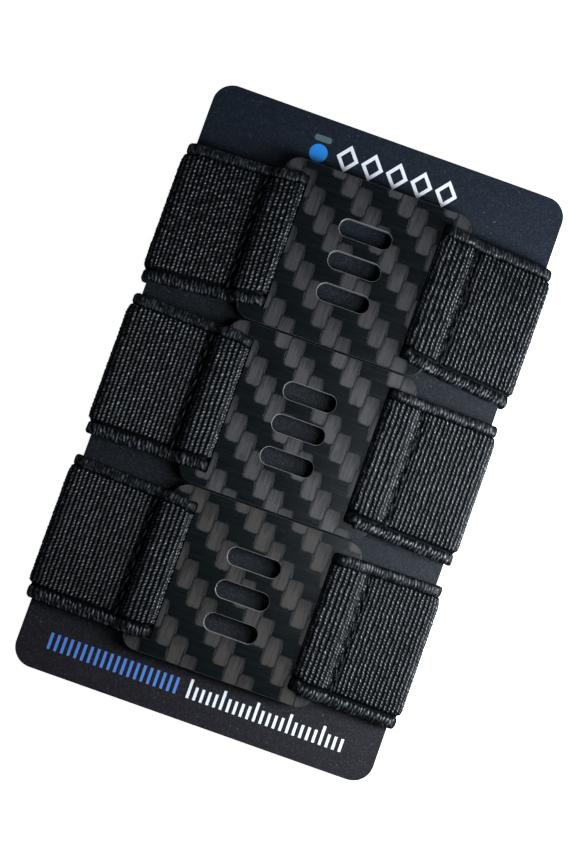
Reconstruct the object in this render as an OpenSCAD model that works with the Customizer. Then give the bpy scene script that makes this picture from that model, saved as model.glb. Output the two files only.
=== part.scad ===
// Three elastic band wallets with carbon fibre plates, carried one above another on a stiff card.
// Lying flat: X across the card, Y along the card towards its top end, Z up.
// The origin is under the middle of the card, on the surface that the bands' backs lie on.

/* [Card] */
// Width of the card
card_w = 54; // [52:0.5:56]
// Length of the card
card_l = 89; // [86:0.5:92]
// Thickness of the card
card_t = 0.8; // [0.5:0.1:1.0]
// Corner radius of the card
card_r = 3; // [1:0.5:5]
// Thickness of the printed ink
ink_t = 0.04; // [0.02:0.01:0.05]

/* [Elastic] */
// Thickness of the elastic
strap_t = 1.2; // [1.0:0.05:1.3]
// Width of the elastic, with both whipped edges
strap_w = 20.9; // [19:0.1:21]
// Width of one whipped edge
edge_w = 1.3; // [0.8:0.1:2]
// Bend radius of the elastic's middle line at its folds and under the card's edges
fold_r = 0.75; // [0.7:0.01:0.8]
// Bend radius of the elastic's middle line over the card's edges
wrap_r = 1.2; // [0.9:0.05:1.4]
// Bend radius of the elastic's middle line where it steps down off a plate's bar
step_r = 1.05; // [0.9:0.05:1.2]
// Distance from the middle of the card to the sewn-down end of the elastic
tail_x = 25.5; // [20:0.5:25.5]

/* [Carbon plate] */
// Width of a plate
plate_w = 28.4; // [28:0.1:29]
// Height of a plate, along the card
plate_h = 24.6; // [24:0.1:24.7]
// Thickness of a plate
plate_t = 1.1; // [0.9:0.05:1.3]
// Corner radius of a plate
plate_r = 2.2; // [1:0.1:4]
// Distance from the middle of a plate to the inner wall of a strap slot
slot_in = 10.2; // [9.5:0.1:10.3]
// Width of a strap slot
slot_w = 1.5; // [1.5:0.05:1.7]
// Length of a strap slot
slot_l = 21.4; // [21.1:0.1:22.6]
// Corner radius of a strap slot
slot_r = 0.45; // [0.3:0.05:0.7]
// Width of one cut-out
window_w = 7.8; // [4:0.1:12]
// Height of one cut-out
window_h = 2.6; // [1.5:0.1:3.5]
// Distance between the middles of neighbouring cut-outs
window_pitch = 4.9; // [4.2:0.1:6]

/* [Stitching] */
// Length of one stitch
stitch_l = 1.7; // [1:0.1:2]
// Width of one stitch
stitch_w = 0.45; // [0.3:0.05:0.6]
// Height of one stitch above the elastic
stitch_h = 0.3; // [0.1:0.05:0.4]
// Distance from one stitch to the next
stitch_pitch = 2.3; // [2.1:0.1:3]

/* [Layout] */
// Distance from one band wallet to the next, along the card
band_pitch = 24.8; // [24.75:0.05:25]
// Gap that lets the elastic slide on the card and on the plate
gap = 0.1; // [0.08:0.01:0.12]
// Gap between the two sewn layers of the elastic
layer_gap = 0.05; // [0.04:0.01:0.06]

/* [Hidden] */
$fn = 48;

// The three band wallets, as multiples of the pitch from the middle one
TOP = 1;
MIDDLE = 0;
BOTTOM = -1;
LEFT = -1;
RIGHT = 1;

// Heights of the layers, from the surface up. A layer of elastic is given by its middle line.
back_z = strap_t / 2;
card_z = strap_t + gap;
ink_z = card_z + card_t;
under_z = ink_z + gap + strap_t / 2;
plate_z = under_z + strap_t / 2 + gap;
over_z = plate_z + plate_t + gap + strap_t / 2;
sewn_z = under_z + strap_t + layer_gap;

// The plates sit a little right of the card's middle, each by its own amount
function plate_x(band) = band == TOP ? 0.5 : band == MIDDLE ? 0.8 : 1.2;
function band_y(band) = band * band_pitch + 0.1;

// The elastic's route round one end of the card, as distances from the middle
slot_x = slot_in + slot_w / 2;
turn_x = slot_x + fold_r;
bar_x = plate_w / 2 - 0.1;
side_x = card_w / 2 + gap + strap_t / 2;
bar_step = over_z - sewn_z;
bar_angle = acos(1 - bar_step / (2 * step_r));
bar_run = 2 * step_r * sin(bar_angle);
seam_x = bar_x + bar_run + 0.1 + stitch_w / 2;
// Pieces in each bend
BEND = 6;

// A pose is a point of the middle line and its heading.
// A move is a straight length, then a bend of some radius through some angle, left turns positive.
function along(heading) = [cos(heading), sin(heading)];
function across(heading) = [-sin(heading), cos(heading)];
function straight(pose, length) = [pose[0] + length * along(pose[1]), pose[1]];
function bent(pose, radius, angle) =
    let (centre = pose[0] + sign(angle) * radius * across(pose[1]))
    [
        for (k = [1:BEND])
            let (heading = pose[1] + angle * k / BEND)
            [centre - sign(angle) * radius * across(heading), heading]
    ];
function route(moves, pose, i = 0) =
    i == len(moves) ? [] :
    let (
        ahead = straight(pose, moves[i][0]),
        bend = moves[i][2] == 0 ? [] : bent(ahead, moves[i][1], moves[i][2]),
        end = len(bend) == 0 ? ahead : bend[BEND - 1]
    )
    concat(moves[i][0] > 0 ? [ahead] : [], bend, route(moves, end, i + 1));

// One whole strap, from the sewn-down end on the left to the one on the right
function strap_moves(shift) = [
    [tail_x - turn_x + shift, fold_r, 90],
    [over_z - under_z - 2 * fold_r, fold_r, 90],
    [bar_x - turn_x, step_r, bar_angle],
    [0, step_r, -bar_angle],
    [side_x - wrap_r - bar_x - bar_run + shift, wrap_r, 90],
    [sewn_z - back_z - wrap_r - fold_r, fold_r, 90],
    [2 * (side_x - fold_r), fold_r, 90],
    [sewn_z - back_z - wrap_r - fold_r, wrap_r, 90],
    [side_x - wrap_r - bar_x - bar_run - shift, step_r, -bar_angle],
    [0, step_r, bar_angle],
    [bar_x - turn_x, fold_r, 90],
    [over_z - under_z - 2 * fold_r, fold_r, 90],
    [tail_x - turn_x - shift, fold_r, 0],
];
function strap_route(shift) =
    let (start = [[-tail_x, under_z], 0])
    concat([start], route(strap_moves(shift), start));

// The elastic seen end-on: its middle line, half a thickness to either side
module strap_outline(shift) {
    line = strap_route(shift);
    inner = [for (pose = line) pose[0] + strap_t / 2 * across(pose[1])];
    outer = [for (pose = line) pose[0] - strap_t / 2 * across(pose[1])];
    last = len(line) - 1;
    polygon(concat(inner, [for (k = [0:last]) outer[last - k]]));
}

// A stretch of the strap's width, width long, with its middle at offset from the plate's middle
module strap_stretch(band, offset, width) {
    translate([0, band_y(band) + offset, 0])
        rotate([90, 0, 0])
            linear_extrude(width, center = true) strap_outline(plate_x(band));
}

// A rounded rectangle round the origin
module rounded(width, height, radius) {
    square([width - 2 * radius, height], center = true);
    square([width, height - 2 * radius], center = true);
    for (x = [-1, 1], y = [-1, 1])
        translate([x * (width / 2 - radius), y * (height / 2 - radius)]) circle(radius);
}

// A printed layer on the card's front
module ink() {
    translate([0, 0, ink_z]) linear_extrude(ink_t) children();
}

module card() {
    color("#12161d")
        translate([0, 0, card_z]) linear_extrude(card_t) rounded(card_w, card_l, card_r);
}

// A plain two-part badge beside the title row: a bar over a disc
badge_x = -9.9;
module card_badge_upper() {
    color("#7d9a98") ink() translate([badge_x, 41.4]) rounded(2.6, 0.9, 0.4);
}

module card_badge_lower() {
    color("#2f8fe6") ink() translate([badge_x, 39.2]) circle(1.35);
}

// A row of open lozenges in place of a title
title_count = 5;
title_pitch = 3.8;
title_half_w = 1.7;
title_half_h = 2.1;
title_line = 0.66;
module lozenge(half_w, half_h) {
    polygon([[half_w, 0], [0, half_h], [-half_w, 0], [0, -half_h]]);
}

module card_title_row() {
    color("#f2f2f8") ink()
        for (k = [0:title_count - 1])
            translate([-5.6 + title_pitch * k, 39.8])
                difference() {
                    lozenge(title_half_w, title_half_h);
                    lozenge(title_half_w - title_line, title_half_h - title_line * 1.24);
                }
}

// A row of plain upright ticks in place of a line of small print
scale_y = -41.2;
tick_w = 0.42;
module ticks(count, first_x, short, long) {
    for (k = [0:count - 1])
        translate([first_x + k, scale_y]) square([tick_w, k % 5 == 0 ? long : short]);
}

module card_scale_blue() {
    color("#5b86dc") ink() ticks(20, -22.6, 2.4, 2.4);
}

module card_scale_white() {
    color("#f2f2f8") ink() ticks(24, -1.6, 1.9, 2.8);
}

module plate(band) {
    color("#2b2d30")
        translate([plate_x(band), band_y(band), plate_z])
            linear_extrude(plate_t)
                difference() {
                    rounded(plate_w, plate_h, plate_r);
                    for (side = [LEFT, RIGHT])
                        translate([side * slot_x, 0]) rounded(slot_w, slot_l, slot_r);
                    for (k = [-1:1])
                        translate([0, k * window_pitch]) rounded(window_w, window_h, window_h / 2 - 0.1);
                }
}

module strap(band) {
    color("#1b1c20") strap_stretch(band, 0, strap_w - 2 * edge_w);
}

// side is 1 for the upper edge and -1 for the lower one
module edge(band, side) {
    color("#26272c") strap_stretch(band, side * (strap_w - edge_w) / 2, edge_w);
}

// The stitches lie on the upper layer, just outside the step down from the plate's bar
module seam(band, side) {
    count = floor((strap_w - 2 * edge_w + stitch_pitch - stitch_l) / stitch_pitch);
    color("#0d0d10")
        translate([plate_x(band) + side * seam_x, band_y(band), sewn_z + strap_t / 2 + 0.02])
            linear_extrude(stitch_h)
                for (k = [0:count - 1])
                    translate([0, (k - (count - 1) / 2) * stitch_pitch])
                        rounded(stitch_w, stitch_l, stitch_w / 2 - 0.03);
}

card();
card_badge_upper();
card_badge_lower();
card_title_row();
card_scale_blue();
card_scale_white();
plate(TOP);  // top_plate
strap(TOP);  // top_strap
edge(TOP, 1);  // top_edge_upper
edge(TOP, -1);  // top_edge_lower
seam(TOP, LEFT);  // top_seam_left
seam(TOP, RIGHT);  // top_seam_right
plate(MIDDLE);  // middle_plate
strap(MIDDLE);  // middle_strap
edge(MIDDLE, 1);  // middle_edge_upper
edge(MIDDLE, -1);  // middle_edge_lower
seam(MIDDLE, LEFT);  // middle_seam_left
seam(MIDDLE, RIGHT);  // middle_seam_right
plate(BOTTOM);  // bottom_plate
strap(BOTTOM);  // bottom_strap
edge(BOTTOM, 1);  // bottom_edge_upper
edge(BOTTOM, -1);  // bottom_edge_lower
seam(BOTTOM, LEFT);  // bottom_seam_left
seam(BOTTOM, RIGHT);  // bottom_seam_right
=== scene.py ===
"""Three elastic band wallets with carbon fibre plates, carried on a stiff printed card.

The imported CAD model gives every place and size. Each strap is rebuilt as ribbed webbing along the
same route, each plate as a chamfered laminate, and every surface gets a procedural material.
"""
import math

import bpy
import numpy as np
from mathutils import Matrix, Vector


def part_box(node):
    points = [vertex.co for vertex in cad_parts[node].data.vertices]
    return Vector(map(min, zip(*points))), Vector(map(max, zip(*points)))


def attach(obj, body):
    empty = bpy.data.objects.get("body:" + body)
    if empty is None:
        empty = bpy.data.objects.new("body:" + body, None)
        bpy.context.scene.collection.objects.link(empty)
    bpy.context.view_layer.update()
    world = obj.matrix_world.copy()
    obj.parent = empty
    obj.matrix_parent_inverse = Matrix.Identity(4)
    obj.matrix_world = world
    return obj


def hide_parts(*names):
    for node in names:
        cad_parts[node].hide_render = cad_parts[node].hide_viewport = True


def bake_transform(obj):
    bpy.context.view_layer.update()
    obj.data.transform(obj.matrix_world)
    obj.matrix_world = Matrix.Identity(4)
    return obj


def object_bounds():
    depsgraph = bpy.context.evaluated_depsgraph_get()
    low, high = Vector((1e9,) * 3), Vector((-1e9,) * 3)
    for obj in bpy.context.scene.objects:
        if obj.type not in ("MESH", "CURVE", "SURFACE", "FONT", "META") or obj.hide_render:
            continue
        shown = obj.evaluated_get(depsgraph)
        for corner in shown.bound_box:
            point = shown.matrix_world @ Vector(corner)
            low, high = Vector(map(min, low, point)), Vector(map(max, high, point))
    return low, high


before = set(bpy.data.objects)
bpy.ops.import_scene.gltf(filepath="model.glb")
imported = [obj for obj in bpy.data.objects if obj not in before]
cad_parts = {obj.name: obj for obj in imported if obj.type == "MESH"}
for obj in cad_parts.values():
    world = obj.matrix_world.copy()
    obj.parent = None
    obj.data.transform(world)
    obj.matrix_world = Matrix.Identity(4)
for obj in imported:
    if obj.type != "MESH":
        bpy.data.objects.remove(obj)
cad_low, cad_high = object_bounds()

MM = 0.001
BANDS = ("top", "middle", "bottom")
LEFT, RIGHT = -1, 1
UPPER, LOWER = 1, -1
rng = np.random.default_rng(7)

# The elastic, in millimetres, as the CAD solids have it
STRAP_T = 1.2
FOLD_R = 0.75
WRAP_R = 1.2
STEP_R = 1.05
LAYER_GAP = 0.05
GAP = 0.1
DROP_MARGIN = 0.1
SLOT_MIDDLE = 10.95
TAIL_X = 25.5

# The ribs of the elastic, in millimetres: how far apart they are, and the turns along each one
RIB_PITCH = 0.645
STRETCHED_PITCH = 0.74
RIB_DEPTH = 0.3
BEAD_PITCH = {"top": 0.55, "middle": 0.48, "bottom": 0.43}
# Ribs open up on the outside of a bend, so they lie closer on its middle line, and they close
# up in a dip. Each is a share of the pitch.
BEND_SHARE = {"fold": 0.6, "drop": 0.66, "dip": 1.5, "wrap": 0.72}
# How dark the gaps between the turns of each rib are painted, from 0 to 1: painted shade, deeper on the
# left tabs, away from the key
BEAD_GAP_SHADE = {LEFT: 0.94, RIGHT: 0.7}
# The groove that the stitches pull: how dark it is painted, as painted shade deepest on the left tabs
# where the slope faces away from the key, and how disordered the ribs are beside it
CREASE_SHADE = {LEFT: (0.85, 0.15), RIGHT: (0.25, 0.7)}
CREASE_OFFSET = 0.1

# The whipped cord along each edge, in millimetres: the pitch of its turns, how crisp they are,
# half its width, and their slant. The cord lies CORD_SINK below the webbing's face.
WHIPPING = {UPPER: (0.42, 0.45, 0.82, 0.15), LOWER: (0.56, 0.9, 0.92, -0.3)}
CORD_SINK = 0.32
EDGES = ((UPPER, "edge_upper"), (LOWER, "edge_lower"))

# The stitches, in millimetres
STITCHES = 8
STITCH_PITCH = 2.3
STITCH_L = 1.62
STITCH_R = 0.17

# Inside its slot the elastic is pressed narrower than it lies free, and beyond the bar it widens
BAR_INNER = SLOT_MIDDLE + STRAP_T / 2
SQUEEZED_HALF_W = 10.1
WIDENS_OVER = 0.6
# How far each tab's edges lie off true, up the card, in millimetres:
# (upper edge at the slot, upper at the card's edge), (lower at the slot, lower at the card's edge)
SETTLED = {
    ("top", LEFT): ((-0.55, -1.35), (0.1, -1.5)),
    ("top", RIGHT): ((-0.45, -1.33), (-0.1, -1.5)),
    ("middle", LEFT): ((-0.08, 0.37), (0.3, 0.0)),
    ("middle", RIGHT): ((-0.4, -0.53), (-0.05, -0.65)),
    ("bottom", LEFT): ((0.0, 0.6), (0.1, 0.2)),
    ("bottom", RIGHT): ((-0.2, 0.07), (0.0, -0.43)),
}
# How far the ribs lean outwards from a tab's lower edge to its upper one, in millimetres
LEAN = {
    ("top", LEFT): 0.5, ("top", RIGHT): 0.35,
    ("middle", LEFT): 0.15, ("middle", RIGHT): 0.2,
    ("bottom", LEFT): -0.1, ("bottom", RIGHT): 0.1,
}

# The plates, in millimetres. A slot and a cut-out have a width, a height and a corner radius.
CHAMFER = 0.09
CORNER_R = 2.2
SLOT_SIZE = (1.3, 20.35, 0.35)
CUTOUT_SIZE = (7.8, 2.6, 1.2)
CUTOUT_PITCH = 4.9
# Half the width and half the height of the area that holds the cut-outs
CUTOUT_ZONE = (5.5, 9)
TOW_W = 2.13
# Where the twill's diagonal starts on each plate, and the colour of its upright tows, a painted
# reflection that is lighter on the middle plate
TWILL_AND_PAINTED_SHEEN = {
    "top": (-4.8, 33.95, (0.040, 0.038, 0.040)),
    "middle": (-4.45, 8.1, (0.052, 0.049, 0.052)),
    "bottom": (-1.8, -15.9, (0.044, 0.0385, 0.0365)),
}

INKS = {
    "card_badge_upper": (0.085, 0.135, 0.145), "card_badge_lower": (0.022, 0.24, 0.72),
    "card_title_row": (0.80, 0.81, 0.86), "card_scale_blue": (0.085, 0.22, 0.62),
    "card_scale_white": (0.80, 0.81, 0.86),
}


# ---------------------------------------------------------------- the elastic's route

class Route:
    """A line in the XZ plane made of straights and bends, in millimetres. moves lists each bend's
    name, the straight before it, its radius and its angle. bends gives where each one starts and
    ends along the line."""

    def __init__(self, x, z, heading, moves):
        self.pieces = []
        self.bends = {}
        here = np.array([x, z], float)
        turned = math.radians(heading)
        for name, straight, radius, angle in moves:
            angle = math.radians(angle)
            if straight > 0:
                self._add(straight, here, turned, 0.0)
                here = self._point(self.pieces[-1], straight)
            start = self.length
            if angle:
                self._add(radius * abs(angle), here, turned, math.copysign(1 / radius, angle))
                here = self._point(self.pieces[-1], radius * abs(angle))
                turned += angle
            self.bends[name] = (start, self.length)

    def _add(self, length, point, heading, curvature):
        self.pieces.append((self.length, length, point, heading, curvature))

    @property
    def length(self):
        return self.pieces[-1][0] + self.pieces[-1][1] if self.pieces else 0.0

    @staticmethod
    def _point(piece, along):
        _, _, point, heading, curvature = piece
        if not curvature:
            return point + along * np.array([math.cos(heading), math.sin(heading)])
        new = heading + along * curvature
        return point + np.array([math.sin(new) - math.sin(heading),
                                 math.cos(heading) - math.cos(new)]) / curvature

    def at(self, lengths):
        """x, z and the outward normal's x and z at each length in an array."""
        lengths = np.asarray(lengths, float)
        x, z, heading = (np.zeros_like(lengths) for _ in range(3))
        for start, length, point, first, curvature in self.pieces:
            last = start + length >= self.length - 1e-9
            here = (lengths >= start) & ((lengths < start + length) | last)
            here |= (start == 0) & (lengths < 0)
            along = lengths[here] - start
            angle = first + along * curvature
            if curvature:
                x[here] = point[0] + (np.sin(angle) - math.sin(first)) / curvature
                z[here] = point[1] + (math.cos(first) - np.cos(angle)) / curvature
            else:
                x[here] = point[0] + along * math.cos(first)
                z[here] = point[1] + along * math.sin(first)
            heading[here] = angle
        return x, z, np.sin(heading), -np.cos(heading)


class Strap:
    """The places of one band's elastic, from the CAD boxes, in millimetres."""

    def __init__(self, band):
        self.band = band
        plate_low, plate_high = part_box(f"{band}_plate")
        strap_low, strap_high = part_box(f"{band}_strap")
        edge_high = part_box(f"{band}_edge_upper")[1]
        self.shift = (plate_low.x + plate_high.x) / 2 / MM
        self.y = (plate_low.y + plate_high.y) / 2 / MM
        self.half_w = (strap_high.y - strap_low.y) / 2 / MM
        self.full_half_w = edge_high.y / MM - self.y
        self.back_z = strap_low.z / MM + STRAP_T / 2
        self.over_z = strap_high.z / MM - STRAP_T / 2
        self.under_z = plate_low.z / MM - GAP - STRAP_T / 2
        self.sewn_z = self.under_z + STRAP_T + LAYER_GAP
        self.side_x = strap_high.x / MM - STRAP_T / 2
        self.bar_x = (plate_high.x - plate_low.x) / 2 / MM - DROP_MARGIN
        step = self.over_z - self.sewn_z
        self.step_angle = math.degrees(math.acos(1 - step / (2 * STEP_R)))
        self.step_run = 2 * STEP_R * math.sin(math.radians(self.step_angle))

    def tab(self, side):
        """From the sewn-down end, through the slot, over the bar and down to the card's edge.
        It is made for the left side, and the right one is its mirror image."""
        shift = self.shift * -side
        turn_x = SLOT_MIDDLE + FOLD_R
        return Route(-TAIL_X, self.under_z, 0, [
            ("turn", TAIL_X - turn_x + shift, FOLD_R, 90),
            ("fold", self.over_z - self.under_z - 2 * FOLD_R, FOLD_R, 90),
            ("drop", self.bar_x - turn_x, STEP_R, self.step_angle),
            ("dip", 0, STEP_R, -self.step_angle),
            ("wrap", self.side_x - WRAP_R - self.bar_x - self.step_run + shift, WRAP_R, 90),
            ("foot", self.sewn_z - self.back_z - WRAP_R - FOLD_R, FOLD_R, 0),
        ])

    def back(self):
        """From the left side's foot, under the card, to the right side's foot."""
        return Route(-self.side_x, self.back_z + FOLD_R, 270, [
            ("left_foot", 0, FOLD_R, 90),
            ("right_foot", 2 * (self.side_x - FOLD_R), FOLD_R, 90),
        ])

    def settle(self, x, across, side):
        """y of the elastic at x and at a place across it. side is 0 for the back run."""
        left, right = SETTLED[self.band, LEFT], SETTLED[self.band, RIGHT]
        if side == 0:
            share = (x + self.side_x) / (2 * self.side_x)
            upper, lower = (left[k][1] + (right[k][1] - left[k][1]) * share for k in (0, 1))
            squeezed = 0.0
        else:
            out = (x - self.shift) * side
            reach = self.side_x - side * self.shift
            share = np.clip((out - SLOT_MIDDLE) / (reach - SLOT_MIDDLE), 0, 1)
            place = left if side == LEFT else right
            upper, lower = (place[k][0] + (place[k][1] - place[k][0]) * share for k in (0, 1))
            squeezed = 1 - smoothstep(BAR_INNER, BAR_INNER + WIDENS_OVER, out)
        level = across / self.full_half_w
        free = across + lower * (1 - level) / 2 + upper * (1 + level) / 2
        return self.y + free + squeezed * (level * SQUEEZED_HALF_W - free)


# ---------------------------------------------------------------- mesh building

def smoothstep(low, high, value):
    t = np.clip((value - low) / (high - low), 0, 1)
    return t * t * (3 - 2 * t)


def link(name, data):
    made = bpy.data.objects.new(name, data)
    bpy.context.scene.collection.objects.link(made)
    return made


def mesh_object(name, verts, faces, smooth=True):
    mesh = bpy.data.meshes.new(name)
    mesh.from_pydata([tuple(v) for v in verts], [], faces)
    mesh.update()
    mesh.polygons.foreach_set("use_smooth", [smooth] * len(mesh.polygons))
    return link(name, mesh)


def tube_object(name, tubes, flip):
    """Closed tubes. Each is an array of rings, [station, point in ring, xyz], in millimetres."""
    faces = []
    first = 0
    for rings in tubes:
        stations, around, _ = rings.shape
        i, j = np.meshgrid(np.arange(stations - 1), np.arange(around), indexing="ij")
        here, beside = first + i * around + j, first + i * around + (j + 1) % around
        quads = np.stack([here, beside, beside + around, here + around], -1)
        faces.extend(quads.reshape(-1, 4).tolist())
        last = first + (stations - 1) * around
        faces.append(list(range(first, first + around))[::-1])
        faces.append(list(range(last, last + around)))
        first = last + around
    if flip:
        faces = [face[::-1] for face in faces]
    verts = np.concatenate([rings.reshape(-1, 3) for rings in tubes])
    return mesh_object(name, verts * MM, faces)


def set_crest(piece, values):
    """How far each point stands out between the threads, from 0 to 1, for the material, which paints
    the low places dark as painted shade.
    """
    layer = piece.data.attributes.new("crest", "FLOAT", "POINT")
    layer.data.foreach_set("value", np.asarray(values, np.float32).ravel())


def rib_stations(first, last, per_rib, pitch_at):
    """Lengths along a route that fall evenly on its ribs, with each one's rib phase."""
    fine = np.linspace(first, last, 4000)
    phase = np.concatenate([[0], np.cumsum(np.diff(fine) / pitch_at((fine[1:] + fine[:-1]) / 2))])
    count = int(round(phase[-1]))
    phase *= count / phase[-1]
    wanted = np.arange(count * per_rib + 1) / per_rib
    return np.interp(wanted, phase, fine), wanted


def webbing(name, strap, side, route, stations, phase, depth, per_bead, lean=0.0, crease_shade=None,
            wrap=None, bead_gap_shade=1.0):
    """Ribbed webbing along a route. phase counts the ribs, and depth is their depth at each
    station. crease_shade is where stitches pull the webbing down, how dark that groove is
    painted as painted shade, and how disordered the ribs are there. From the length wrap on, the
    webbing's edges draw in. bead_gap_shade is how dark the gaps between the turns of each rib
    are painted, as painted shade."""
    half_w, mirror = strap.half_w, -1 if side == RIGHT else 1
    bead_pitch = BEAD_PITCH[strap.band]
    steps = int(round(2 * half_w / bead_pitch)) * per_bead
    along, across = np.meshgrid(stations, np.linspace(-half_w, half_w, steps + 1), indexing="ij")
    phase, depth = phase[:, None], depth[:, None]
    rib = np.floor(phase + 0.5).astype(int)
    shaky = rng.random(rib.max() + 3)[rib]
    off = phase - rib
    bead_phase = across / bead_pitch + 0.5 * (rib % 2) + 0.4 * shaky + 0.95 * off
    bead_phase += 0.22 * np.sin(3.1 * across + 20 * shaky) + 0.12 * np.sin(5.7 * across + 31 * shaky)
    bead = np.floor(bead_phase).astype(int)
    in_bead = bead_phase - bead
    bead -= bead.min()
    rough = rng.random((rib.max() + 3, bead.max() + 2))[rib, bead]
    loose = rng.random((rib.max() + 3, bead.max() + 2))[rib, (bead + rib % 3) // 3]

    # ribs wander a little along the tab, and lean from one edge to the other
    wander = 0.03 * np.sin(across * 0.9 + 6 * shaky) + 0.018 * np.sin(across * 2.3 + 11 * shaky)
    shown = np.clip(depth / RIB_DEPTH, 0, 1)
    shifted = along + shown * (wander + lean * across / (2 * half_w))

    # each rib is a twisted cord, and the stitches leave its turns in disorder
    messy = crease_shade[2] * np.exp(-((along - crease_shade[0]) / 0.75) ** 2) if crease_shade else 0.0
    off = off + 0.1 * (rough - 0.5) + messy * (loose - 0.5)
    plump = np.sin(math.pi * in_bead)
    crest = 1 - np.clip(2.4 * np.abs(off), 0, 1) ** 2
    height = crest * (0.5 + 0.5 * plump) * (0.78 + 0.22 * rough) * (1 - 0.45 * messy * loose)
    to_edge = smoothstep(0.08, 0.5, half_w - across) * smoothstep(0.5, 1.0, half_w + across)
    height *= to_edge
    lift = STRAP_T / 2 - depth + depth * height - 0.25 * (1 - to_edge) * shown
    if wrap:
        drawn_in = smoothstep(wrap - 0.4, wrap + 0.8, along)
        lift -= 0.3 * (1 - smoothstep(0, 1.6, half_w - np.abs(across))) * drawn_in
    if crease_shade:
        lift -= 0.24 * to_edge * np.exp(-((along - crease_shade[0]) / 0.38) ** 2)

    x, z, nx, nz = route.at(shifted)
    outer = np.stack([x + nx * lift, across, z + nz * lift], -1)
    flat_along, flat_across = np.meshgrid(stations, np.linspace(half_w, -half_w, 5), indexing="ij")
    x, z, nx, nz = route.at(flat_along + shown * lean * flat_across / (2 * half_w))
    inner = np.stack([x - nx * STRAP_T / 2, flat_across, z - nz * STRAP_T / 2], -1)
    rings = np.concatenate([outer, inner], 1)
    rings[..., 0] *= mirror
    rings[..., 1] = strap.settle(rings[..., 0], rings[..., 1], side)
    piece = tube_object(name, [rings], flip=mirror < 0)

    # painted shade in the gaps between the turns of each rib
    between_beads_shade = 1 - bead_gap_shade + bead_gap_shade * plump ** 1.5
    # the tone is light on each rib's crest and dark in the grooves and beside the cords: partly the
    # yarn's own tone, partly painted shade
    tone = np.exp(-(off / (0.14 + 0.13 * plump)) ** 2) * between_beads_shade * (0.4 + 0.6 * rough)
    tone *= to_edge * (1 - 0.5 * messy * loose)
    # painted shade in the groove that the stitches pull
    if crease_shade:
        tone *= 1 - crease_shade[1] * np.exp(-((along - crease_shade[0] + 0.2 * crease_shade[1]) / 0.95) ** 4)
    set_crest(piece, np.concatenate([tone, np.zeros_like(flat_across)], 1))
    return piece


def whipping(name, strap, side, route, stations, level, sink, fold=-9.0):
    """The corded edge of the webbing, on its upper or lower side: thread whipped round a core.
    sink is how far the cord lies below the webbing's face at each station. The thread is painted
    darker where the cord folds, as painted shade, at the length fold."""
    mirror = -1 if side == RIGHT else 1
    pitch, crisp, half_w, slant = WHIPPING[level]
    round_core = np.linspace(0, 2 * math.pi, 20, endpoint=False)
    along, angle = np.meshgrid(stations, round_core, indexing="ij")
    beside, above = np.cos(angle), np.sin(angle)
    squared = (np.abs(beside) ** 3 + np.abs(above) ** 3) ** (-1 / 3)
    turns = along / pitch + 0.34 * np.abs(beside + 0.1 * level) + slant * beside + 0.2 * above
    turns += 0.3 * np.sin(1.7 * along) + 0.16 * np.sin(4.1 * along + 2.0 * beside)
    turns += 0.12 * np.sin(9.7 * along + 5.0 * beside)
    wrap = np.floor(turns).astype(int)
    wrap -= wrap.min()
    strand = np.floor(2.2 * (beside + 1)).astype(int)
    uneven, slack = rng.random((2, 5, wrap.max() + 2))[:, strand, wrap]
    bulge = np.abs(np.sin(math.pi * turns))
    grow = squared * (1 - 0.3 * crisp + 0.3 * crisp * bulge * (0.6 + 0.4 * uneven))
    across = beside * half_w * grow + 0.05 * crisp * (slack - 0.5)
    across += level * (strap.full_half_w - half_w + 0.08)
    lift = above * (STRAP_T / 2 - 0.02) * grow - sink[:, None]
    x, z, nx, nz = route.at(along)
    rings = np.stack([x + nx * lift, across, z + nz * lift], -1)
    rings[..., 0] *= mirror
    rings[..., 1] = strap.settle(rings[..., 0], rings[..., 1], side)
    piece = tube_object(name, [rings], flip=mirror > 0)

    # dark between the turns: partly the thread's own tone, partly painted shade
    tone = smoothstep(crisp - 0.7, 1.0, bulge) * (0.3 + 0.7 * uneven) * (0.6 + 0.2 * crisp)
    # painted shade where the cord folds down into the slot
    tone *= 1 - 0.5 * np.exp(-((along - fold) / 0.8) ** 2)
    # painted shade on the cord's sides, deeper on the side towards the top of the card
    tone *= 0.25 + 0.75 * smoothstep(-0.05, 0.5, 1.08 - np.abs(beside + 0.12))
    set_crest(piece, tone)
    return piece


def stitch_row(name, strap, side, route, where):
    """A row of sewn stitches at one length along the route, each of thread in two plies."""
    x, z, _, _ = (float(a[0]) for a in route.at([where]))
    round_thread = np.linspace(0, 2 * math.pi, 10, endpoint=False)
    along, angle = np.meshgrid(np.linspace(-1, 1, 19), round_thread, indexing="ij")
    ply = np.cos(2 * (angle - 5.5 * along * STITCH_L))
    thick = STITCH_R * (1 + 0.16 * ply) * (1 - 0.35 * np.abs(along) ** 4)
    rise = 0.16 * (1 - np.abs(along) ** 2.6) - 0.3 * np.abs(along) ** 6
    height = z + STRAP_T / 2 - 0.02 + rise + thick * np.sin(angle)
    tubes = []
    for k in range(STITCHES):
        middle = (k - (STITCHES - 1) / 2) * STITCH_PITCH + rng.normal(0, 0.05)
        slip = rng.normal(0, 0.05)
        tilt = rng.normal(0.1, 0.05)
        out = -side * (x + slip + tilt * along + thick * np.cos(angle))
        y = strap.settle(out, middle + along * STITCH_L / 2, side)
        tubes.append(np.stack([out, y, height], -1))
    piece = tube_object(name, tubes, flip=side == LEFT)
    # darker between the plies: partly the thread's own tone, partly painted shade
    set_crest(piece, np.tile(0.5 + 0.5 * ply, (STITCHES, 1, 1)))
    return piece


# ---------------------------------------------------------------- materials

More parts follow.
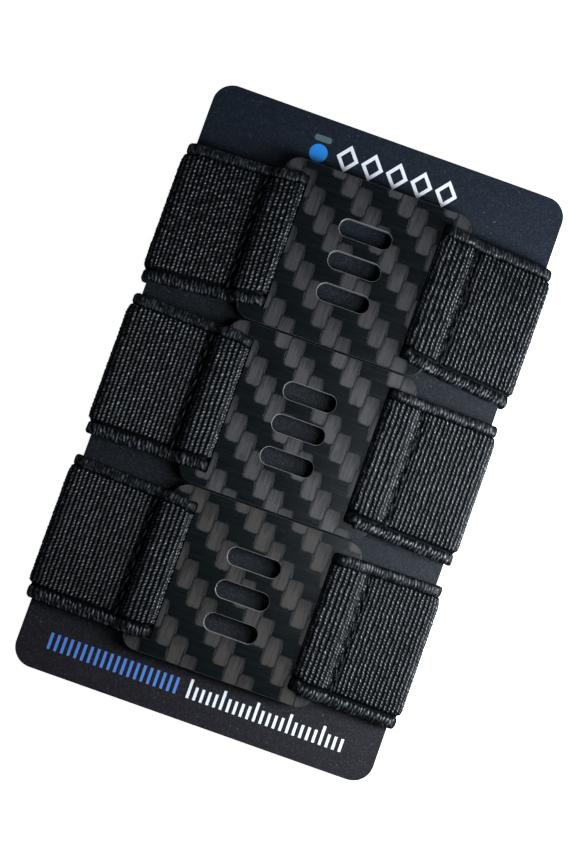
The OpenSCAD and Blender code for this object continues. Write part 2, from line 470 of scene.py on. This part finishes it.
class Value:
    """What varies over a surface, such as a number, a point or a colour. Arithmetic on a number
    adds the nodes that work it out, and a comparison gives 1 or 0."""

    def __init__(self, net, socket):
        self.net = net
        self.socket = socket

    def __add__(self, other):
        return self.net.math("ADD", self, other)

    def __sub__(self, other):
        return self.net.math("SUBTRACT", self, other)

    def __rsub__(self, other):
        return self.net.math("SUBTRACT", other, self)

    def __mul__(self, other):
        return self.net.math("MULTIPLY", self, other)

    def __mod__(self, other):
        return self.net.math("FLOORED_MODULO", self, other)

    def __lt__(self, other):
        return self.net.math("LESS_THAN", self, other)

    def __gt__(self, other):
        return self.net.math("GREATER_THAN", self, other)

    def __abs__(self):
        return self.net.math("ABSOLUTE", self)

    __radd__ = __add__
    __rmul__ = __mul__

    def least(self, other):
        return self.net.math("MINIMUM", self, other)

    def most(self, other):
        return self.net.math("MAXIMUM", self, other)

    def ramp(self, low, high):
        """0 at low, 1 at high and smooth between them."""
        made = self.net.node("ShaderNodeMapRange", interpolation_type="SMOOTHSTEP")
        self.net.feed(made.inputs["Value"], self)
        made.inputs["From Min"].default_value = low
        made.inputs["From Max"].default_value = high
        return Value(self.net, made.outputs["Result"])


class Net:
    """A short way to write a material's nodes."""

    def __init__(self, name, roughness, specular=0.5):
        self.material = bpy.data.materials.new(name)
        self.material.use_nodes = True
        self.tree = self.material.node_tree
        self.shader = self.tree.nodes["Principled BSDF"]
        self.shader.inputs["Roughness"].default_value = roughness
        self.shader.inputs["Specular IOR Level"].default_value = specular

    def node(self, kind, **settings):
        made = self.tree.nodes.new(kind)
        for key, value in settings.items():
            setattr(made, key, value)
        return made

    def feed(self, socket, value):
        if isinstance(value, Value):
            self.tree.links.new(value.socket, socket)
        elif isinstance(value, tuple):
            socket.default_value = (*value, 1)
        else:
            socket.default_value = value

    def math(self, operation, *values, clamp=False):
        made = self.node("ShaderNodeMath", operation=operation, use_clamp=clamp)
        for socket, value in zip(made.inputs, values):
            self.feed(socket, value)
        return Value(self, made.outputs[0])

    def mix(self, share, a, b):
        """The colour a where share is 0, and b where it is 1."""
        made = self.node("ShaderNodeMix", data_type="RGBA")
        self.feed(made.inputs["Factor"], share)
        self.feed(made.inputs["A"], a)
        self.feed(made.inputs["B"], b)
        return Value(self, made.outputs["Result"])

    def place(self, scale=(1, 1, 1), offset=(0, 0, 0)):
        """The surface point in millimetres, scaled along each axis and shifted."""
        made = self.node("ShaderNodeMapping")
        self.feed(made.inputs["Vector"], Value(self, self.node("ShaderNodeTexCoord").outputs["Object"]))
        made.inputs["Scale"].default_value = tuple(v / MM for v in scale)
        made.inputs["Location"].default_value = offset
        return Value(self, made.outputs["Vector"])

    def noise(self, place, scale, detail=2.0, roughness=0.5):
        made = self.node("ShaderNodeTexNoise")
        self.feed(made.inputs["Vector"], place)
        made.inputs["Scale"].default_value = scale
        made.inputs["Detail"].default_value = detail
        made.inputs["Roughness"].default_value = roughness
        return Value(self, made.outputs["Fac"])

    def specks(self, place, scale, size, missing):
        """1 inside small round specks, and 0 between them. missing is the share left out."""
        made = self.node("ShaderNodeTexVoronoi")
        self.feed(made.inputs["Vector"], place)
        made.inputs["Scale"].default_value = scale
        draw = self.node("ShaderNodeSeparateColor")
        self.feed(draw.inputs[0], Value(self, made.outputs["Color"]))
        near = Value(self, made.outputs["Distance"]) < size
        return near * (Value(self, draw.outputs[0]) > missing)

    def random(self, x, y):
        """A number from 0 to 1 for each pair of whole numbers."""
        pair = self.node("ShaderNodeCombineXYZ")
        self.feed(pair.inputs[0], x)
        self.feed(pair.inputs[1], y)
        made = self.node("ShaderNodeTexWhiteNoise", noise_dimensions="2D")
        self.feed(made.inputs["Vector"], Value(self, pair.outputs[0]))
        return Value(self, made.outputs["Value"])

    def attribute(self, name):
        return Value(self, self.node("ShaderNodeAttribute", attribute_name=name).outputs["Fac"])

    def split(self, vector):
        made = self.node("ShaderNodeSeparateXYZ")
        self.feed(made.inputs[0], vector)
        return [Value(self, output) for output in made.outputs]

    def levelness(self):
        """1 on level faces and 0 on upright ones."""
        return abs(self.split(Value(self, self.node("ShaderNodeNewGeometry").outputs["Normal"]))[2])

    def colour(self, value):
        self.feed(self.shader.inputs["Base Color"], value)

    def roughness(self, value):
        self.feed(self.shader.inputs["Roughness"], value)

    def bump(self, height, distance_mm, strength=1.0):
        made = self.node("ShaderNodeBump")
        made.inputs["Distance"].default_value = distance_mm * MM
        made.inputs["Strength"].default_value = strength
        self.feed(made.inputs["Height"], height)
        self.feed(self.shader.inputs["Normal"], Value(self, made.outputs[0]))


def thread_material(name, groove, crest, shine):
    """Black yarn, grey and glossy on its crests, with fine fibres. The black between the threads is
    partly the yarn's own colour and partly painted shade in the hollows.
    """
    net = Net(name, 0.48, 0.085)
    net.shader.inputs["Coat Roughness"].default_value = 0.36
    fibres = net.noise(net.place((1, 0.5, 1)), 7.0, 3.0, 0.65)
    cloud = net.noise(net.place(), 0.4, 2.0)
    lit = net.attribute("crest").ramp(0.1, 0.9) * (fibres.ramp(0.3, 0.7) + 0.4) * (cloud * 0.6 + 0.7)
    # grooves painted near black, partly as painted shade, and crests grey
    net.colour(net.mix(lit.least(1.0), groove, crest))
    net.feed(net.shader.inputs["Coat Weight"], net.math("MULTIPLY", lit, shine, clamp=True))
    net.bump(fibres, 0.04, 0.7)
    return net.material


def carbon_material(name, middle, corner_x, corner_y, lit):
    """A 2 by 2 twill of flat tows under matt resin. (corner_x, corner_y) is where one upright
    tow comes up, in millimetres, and the diagonal steps down to the right from there. lit is the
    upright tows' colour, a painted reflection of a light from the side; the flat tows are painted
    dark. middle is the plate's middle, which the cut-outs lie round."""
    net = Net(name, 0.4, 0.2)
    x, y, _ = net.split(net.place((1 / TOW_W,) * 3, (-corner_x / TOW_W, -corner_y / TOW_W, 0)))

    # fibres of one tow don't all dive at the same place, and tows aren't dead straight
    frayed_up = net.noise(net.place((1, 0.12, 1)), 5.0, 3.0, 0.7)
    frayed_flat = net.noise(net.place((0.12, 1, 1)), 5.0, 3.0, 0.7)
    sway = net.noise(net.place(), 0.55, 1.0)
    y = y + (frayed_up - 0.5) * 0.3
    x = x + (frayed_flat - 0.5) * 0.22 + (sway - 0.5) * 0.16
    column, row = net.math("FLOOR", x), net.math("FLOOR", y)
    in_x, in_y = net.math("FRACT", x), net.math("FRACT", y)

    # each tow lies on top for two cells out of four, and its neighbour's float starts one lower
    step = (column + row) % 4.0
    own = step < 1.5
    upright = own
    # an upright tow swells over the flat ones beside it
    for turn, inward in ((3.0, in_x), (1.0, 1.0 - in_x)):
        beside = (step + turn) % 4.0
        reach = net.math("SINE", (beside + in_y) * (math.pi / 2))
        upright = upright.most((beside < 1.5) * (inward < reach * 0.1))
    flat = 1.0 - upright

    # painted highlight on the upright tows, brightest at the lower end of each float and darker towards
    # each tow's right side
    along_up = (step + in_y) * 0.5
    fibre_up = net.noise(net.place((1, 0.07, 1)), 3.2, 4.0, 0.85)
    patch = net.noise(net.place(), 0.4, 2.0)
    bright = 1.0 - along_up.ramp(0.25, 1.0) * 0.62
    bright = bright * (net.random(column, row - step) * 0.35 + 0.9)
    bright = bright * (fibre_up.ramp(0.3, 0.7) * 1.2 + 0.45)
    bright = bright * (1.0 - in_x.ramp(0.3, 1.1) * 0.4)
    bright = bright * (patch * 0.8 + 0.65)
    light_tow = net.mix(bright.least(1.5), (0.004, 0.0043, 0.0048), lit)

    # the flat tows are painted dark, as painted shade, a little lighter along each float
    along_flat = ((step - 2.0) + in_x) * 0.5
    fibre_flat = net.noise(net.place((0.07, 1, 1)), 3.2, 4.0, 0.85)
    grey = fibre_flat.ramp(0.3, 0.7) * 0.8 + along_flat * 0.35
    dark_tow = net.mix(grey, (0.0014, 0.0022, 0.0028), (0.0044, 0.0062, 0.0074))

    # each float has rounded corners where it dives
    side_up = in_x.least(1.0 - in_x)
    run = step + in_y
    end_up = run.least(2.0 - run)
    bent_x, bent_y = ((0.26 - inside).most(0.0) for inside in (side_up, end_up))
    beyond = net.math("SQRT", bent_x * bent_x + bent_y * bent_y)
    tows = net.mix(upright - own * beyond.ramp(0.15, 0.275), dark_tow, light_tow)

    # a hairline of resin along each tow's sides
    side = upright * side_up + flat * in_y.least(1.0 - in_y)
    tows = net.mix(side.ramp(-0.05, 0.04), (0.002, 0.0027, 0.0034), tows)

    # cut edges are paler than the face; the cut-outs' walls are paler still, a painted highlight
    half_x, half_y = CUTOUT_ZONE
    off_x, off_y, _ = net.split(net.place((1 / half_x, 1 / half_y, 1),
                                          (-middle[0] / half_x, -middle[1] / half_y, 0)))
    near_middle = abs(off_x).most(abs(off_y)) < 1.0
    cut_edge_and_highlight = net.mix(near_middle, (0.022, 0.023, 0.025), (0.13, 0.13, 0.125))
    net.colour(net.mix(net.levelness().ramp(0.85, 0.98), cut_edge_and_highlight, tows))
    fibre = upright * fibre_up + flat * fibre_flat
    net.bump(side.ramp(0.0, 0.3) + fibre * 0.6, 0.012, 0.7)
    net.roughness(upright * 0.18 + (0.22 + fibre * 0.08))
    return net.material


def card_material():
    """Matt black print with a blue cast at the top, a warm one at the foot, and paper dust."""
    net = Net("card_print", 0.5, 0.2)
    place = net.place()
    _, y, _ = net.split(place)
    base = net.mix(y.ramp(-44.0, -22.0), (0.0070, 0.0044, 0.0072), (0.0003, 0.0018, 0.0046))
    base = net.mix(y.ramp(15.0, 42.0), base, (0.0037, 0.0077, 0.0150))
    mottle = net.noise(place, 3.0, 4.0, 0.85)
    base = net.mix(mottle.ramp(0.47, 0.72), base, (0.021, 0.0275, 0.037))
    large, small = net.specks(place, 0.95, 0.085, 0.55), net.specks(place, 2.3, 0.13, 0.6)
    dust = net.math("ADD", large, small * 0.6, clamp=True)
    net.colour(net.mix(dust, base, (0.07, 0.08, 0.095)))
    net.bump(net.noise(place, 6.0, 3.0, 0.6) + mottle, 0.045, 0.8)
    net.roughness(0.36 + mottle * 0.34)
    return net.material


def ink_material(name, colour):
    """Printed ink with a fine screen grain."""
    net = Net(name, 0.45, 0.4)
    grain = net.noise(net.place(), 6.0, 2.0)
    deeper = tuple(0.86 * c for c in colour)
    net.colour(net.mix(grain.ramp(0.35, 0.65), deeper, colour))
    net.bump(grain, 0.01, 0.3)
    return net.material


def floor_material():
    """White paper that glows a little, so that the object's shadow on it stays faint."""
    net = Net("floor_paper", 0.8, 0.2)
    grain = net.noise(net.place(), 0.5, 2.0)
    net.colour(net.mix(grain, (0.88, 0.88, 0.88), (0.9, 0.9, 0.9)))
    net.shader.inputs["Emission Color"].default_value = (1, 1, 1, 1)
    net.shader.inputs["Emission Strength"].default_value = 0.94
    return net.material


def dress(piece, material):
    piece.data.materials.clear()
    piece.data.materials.append(material)


# ---------------------------------------------------------------- plates

def arc(cx, cy, radius, first, steps=10):
    """A quarter turn of points, anticlockwise from the angle first."""
    return [(cx + radius * math.cos(math.radians(first + 90 * k / steps)),
             cy + radius * math.sin(math.radians(first + 90 * k / steps))) for k in range(steps + 1)]


def rounded(cx, cy, width, height, radius):
    """The outline of a rounded rectangle, anticlockwise from its right side."""
    w, h = width / 2 - radius, height / 2 - radius
    corners = ((w, h, 0), (-w, h, 90), (-w, -h, 180), (w, -h, 270))
    return [p for x, y, first in corners for p in arc(cx + x, cy + y, radius, first)]


def plate(band):
    """A chamfered plate with two strap slots and three cut-outs, from a flat filled outline."""
    low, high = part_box(f"{band}_plate")
    cx, cy = (low.x + high.x) / 2 / MM, (low.y + high.y) / 2 / MM
    width, height, thick = ((b - a) / MM for a, b in zip(low, high))
    outlines = [rounded(cx, cy, width, height, CORNER_R)]
    outlines += [rounded(cx + side * SLOT_MIDDLE, cy, *SLOT_SIZE) for side in (LEFT, RIGHT)]
    outlines += [rounded(cx, cy + k * CUTOUT_PITCH, *CUTOUT_SIZE) for k in (-1, 0, 1)]
    curve = bpy.data.curves.new(f"{band}_plate_outline", "CURVE")
    curve.dimensions = "2D"
    curve.fill_mode = "BOTH"
    curve.extrude = (thick / 2 - CHAMFER) * MM
    curve.bevel_depth = CHAMFER * MM
    curve.bevel_resolution = 1
    curve.offset = -CHAMFER * MM
    for points in outlines:
        spline = curve.splines.new("POLY")
        spline.points.add(len(points) - 1)
        for point, (x, y) in zip(spline.points, points):
            point.co = (x * MM, y * MM, 0, 1)
        spline.use_cyclic_u = True
    drawn = link(f"{band}_plate_drawn", curve)
    depsgraph = bpy.context.evaluated_depsgraph_get()
    mesh = bpy.data.meshes.new_from_object(drawn.evaluated_get(depsgraph))
    bpy.data.objects.remove(drawn)
    mesh.transform(Matrix.Translation((0, 0, (low.z + high.z) / 2)))
    return link(f"{band}_carbon_plate", mesh)


# ---------------------------------------------------------------- the object

strap_yarn = thread_material("strap_yarn", (0.0010, 0.0014, 0.0020), (0.046, 0.054, 0.065), 2.9)
edge_yarn = thread_material("edge_yarn", (0.0010, 0.0014, 0.0020), (0.034, 0.040, 0.048), 1.4)
seam_yarn = thread_material("seam_yarn", (0.001, 0.001, 0.0013), (0.008, 0.009, 0.010), 0.2)


def take_over(piece, band, part, material):
    """Make a visual piece stand for one CAD node of a band."""
    dress(piece, material)
    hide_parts(f"{band}_{part}")


def build_plate(strap):
    band = strap.band
    carbon = carbon_material(f"carbon_{band}", (strap.shift, strap.y), *TWILL_AND_PAINTED_SHEEN[band])
    made = plate(band)
    take_over(made, band, "plate", carbon)
    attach(made, f"front_{band}")


def build_back(strap):
    """The elastic behind the card, with its corded edges."""
    band, behind = strap.band, f"band_{strap.band}"
    route = strap.back()
    stations, phase = rib_stations(0, route.length, 3, lambda along: np.full_like(along, RIB_PITCH))
    depth = np.full_like(stations, RIB_DEPTH * 0.8)
    made = webbing(f"{band}_strap_back", strap, 0, route, stations, phase, depth, 2)
    take_over(made, band, "strap", strap_yarn)
    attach(made, behind)

    stations = np.append(np.arange(0, route.length, 0.16), route.length)
    from_end = np.minimum(stations, route.length - stations)
    sink = CORD_SINK * (1 - smoothstep(0, 2.0, from_end))
    for level, part in EDGES:
        made = whipping(f"{band}_{part}_back", strap, 0, route, stations, level, sink)
        take_over(made, band, part, edge_yarn)
        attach(made, behind)


def build_tab(strap, side):
    """The elastic on one side of the plate, with its corded edges and its stitches."""
    band, word = strap.band, "left" if side == LEFT else "right"
    behind, front = f"band_{band}", f"front_{band}"
    route = strap.tab(side)
    slot_end, step_end = route.bends["turn"][1], route.bends["dip"][1]
    wrap_start = route.bends["wrap"][0]

    def rib_pitch(along):
        pitch = np.where(along < step_end, STRETCHED_PITCH, RIB_PITCH)
        for bend, share in BEND_SHARE.items():
            first, last = route.bends[bend]
            pitch = np.where((along > first) & (along < last), share * pitch, pitch)
        return pitch

    # the stretch under the plate is out of sight and plain
    hidden = np.arange(0, slot_end - 0.4, 0.8)
    ribbed, phase = rib_stations(slot_end - 0.3, route.length, 6, rib_pitch)
    stations = np.concatenate([hidden, ribbed])
    phase = np.concatenate([np.zeros_like(hidden), phase])
    depth = RIB_DEPTH * smoothstep(slot_end - 0.3, slot_end + 0.5, stations)
    seam = step_end + CREASE_OFFSET
    made = webbing(f"{band}_strap_{word}", strap, side, route, stations, phase, depth, 5,
                   LEAN[band, side], (seam, *CREASE_SHADE[side]), wrap_start, BEAD_GAP_SHADE[side])
    take_over(made, band, "strap", strap_yarn)
    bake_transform(made)

    stations = np.concatenate([np.arange(0, slot_end - 0.5, 0.7),
                               np.arange(slot_end - 0.3, route.length, 0.09), [route.length]])
    sink = CORD_SINK * smoothstep(wrap_start - 0.3, wrap_start + 1.2, stations)
    for level, part in EDGES:
        made = whipping(f"{band}_{part}_{word}", strap, side, route, stations, level, sink,
                        fold=sum(route.bends["fold"]) / 2)
        take_over(made, band, part, edge_yarn)
        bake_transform(made)

    made = stitch_row(f"{band}_stitches_{word}", strap, side, route, seam)
    take_over(made, band, f"seam_{word}", seam_yarn)
    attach(made, front)


for band in BANDS:
    strap = Strap(band)
    build_plate(strap)
    build_back(strap)
    for side in (LEFT, RIGHT):
        build_tab(strap, side)

dress(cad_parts["card"], card_material())
for node, colour in INKS.items():
    dress(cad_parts[node], ink_material(f"ink_{node}", colour))

# ---------------------------------------------------------------- stage, light and camera

# The floor and the backdrop, in metres
FLOOR_HALF = 2
FLOOR_BELOW = 0.00002
DOME_R = 1.9
DOME_STEP = math.pi / 12
DOME_RINGS = 7
DOME_SPOKES = 32


def floor():
    """A sheet of paper under the object. It isn't mirrored in the object's gloss."""
    half = FLOOR_HALF
    corners = [(-half, -half, 0), (half, -half, 0), (half, half, 0), (-half, half, 0)]
    made = mesh_object("floor", corners, [(0, 1, 2, 3)], smooth=False)
    made.location.z = cad_low.z - FLOOR_BELOW
    dress(made, floor_material())
    made.visible_glossy = False


def backdrop():
    """A white dome far round the object. It closes the background and doesn't light the object."""
    verts = [(0, 0, DOME_R)]
    for ring in range(1, DOME_RINGS + 1):
        out, up = DOME_R * math.sin(ring * DOME_STEP), DOME_R * math.cos(ring * DOME_STEP)
        for spoke in range(DOME_SPOKES):
            turn = 2 * math.pi * spoke / DOME_SPOKES
            verts.append((out * math.cos(turn), out * math.sin(turn), up))
    faces = []
    for spoke in range(DOME_SPOKES):
        after = (spoke + 1) % DOME_SPOKES
        faces.append((0, 1 + after, 1 + spoke))
        for ring in range(DOME_RINGS - 1):
            first = 1 + ring * DOME_SPOKES
            below = first + DOME_SPOKES
            faces.append((first + spoke, first + after, below + after, below + spoke))
    made = mesh_object("backdrop", verts, faces)
    dress(made, floor_material())
    made.visible_diffuse = made.visible_glossy = made.visible_shadow = False


def softbox(name, place, aim, size, power):
    """A rectangular light, a little blue, which doesn't show in the picture itself."""
    light = bpy.data.lights.new(name, "AREA")
    light.shape = "RECTANGLE"
    light.size, light.size_y = size
    light.energy = power
    light.color = (0.89, 0.97, 1.03)
    lamp = link(name, light)
    lamp.location = place
    lamp.visible_camera = False
    lamp.rotation_euler = (Vector(aim) - Vector(place)).to_track_quat("-Z", "Y").to_euler()


floor()
backdrop()
softbox("key", (0.070, -0.008, 0.077), (0.042, 0, 0), (0.045, 0.09), 0.151)
softbox("kicker", (0.115, 0, 0.045), (0.025, 0, 0.003), (0.03, 0.09), 0.25)
softbox("front", (0, -0.6, 0.14), (0, 0, 0), (0.5, 0.2), 0.45)
softbox("back", (0, 0.6, 0.14), (0, 0, 0), (0.5, 0.2), 0.45)
softbox("left", (-0.6, 0, 0.12), (0, 0, 0), (0.5, 0.2), 0.12)

world = bpy.data.worlds.new("studio")
world.use_nodes = True
world.node_tree.nodes["Background"].inputs["Color"].default_value = (0.9, 0.95, 1, 1)
world.node_tree.nodes["Background"].inputs["Strength"].default_value = 0.05
bpy.context.scene.world = world
bpy.context.scene.view_settings.view_transform = "Standard"

# The camera stands almost over the card, a little towards its foot, and is turned in the hand
CAMERA_AZIMUTH, CAMERA_ELEVATION, CAMERA_ROLL = -6.41, 86.92, 25.99
CAMERA_DISTANCE = 0.20745
CAMERA_AIM = Vector((-0.47, -0.58, 2.1)) * MM
azimuth, elevation, roll = (math.radians(a) for a in (CAMERA_AZIMUTH, CAMERA_ELEVATION, CAMERA_ROLL))
back_way = Vector((math.sin(azimuth) * math.cos(elevation),
                   -math.cos(azimuth) * math.cos(elevation), math.sin(elevation)))
level_right = Vector((math.cos(azimuth), math.sin(azimuth), 0))
level_up = back_way.cross(level_right)
right = math.cos(roll) * level_right + math.sin(roll) * level_up
up = back_way.cross(right)
camera = link("camera", bpy.data.cameras.new("camera"))
camera.data.lens = 60
camera.data.sensor_width = 36
camera.data.clip_start = 0.01
camera.data.clip_end = 10
camera.matrix_world = Matrix((right, up, back_way)).transposed().to_4x4()
camera.location = CAMERA_AIM + back_way * CAMERA_DISTANCE
bpy.context.scene.camera = camera
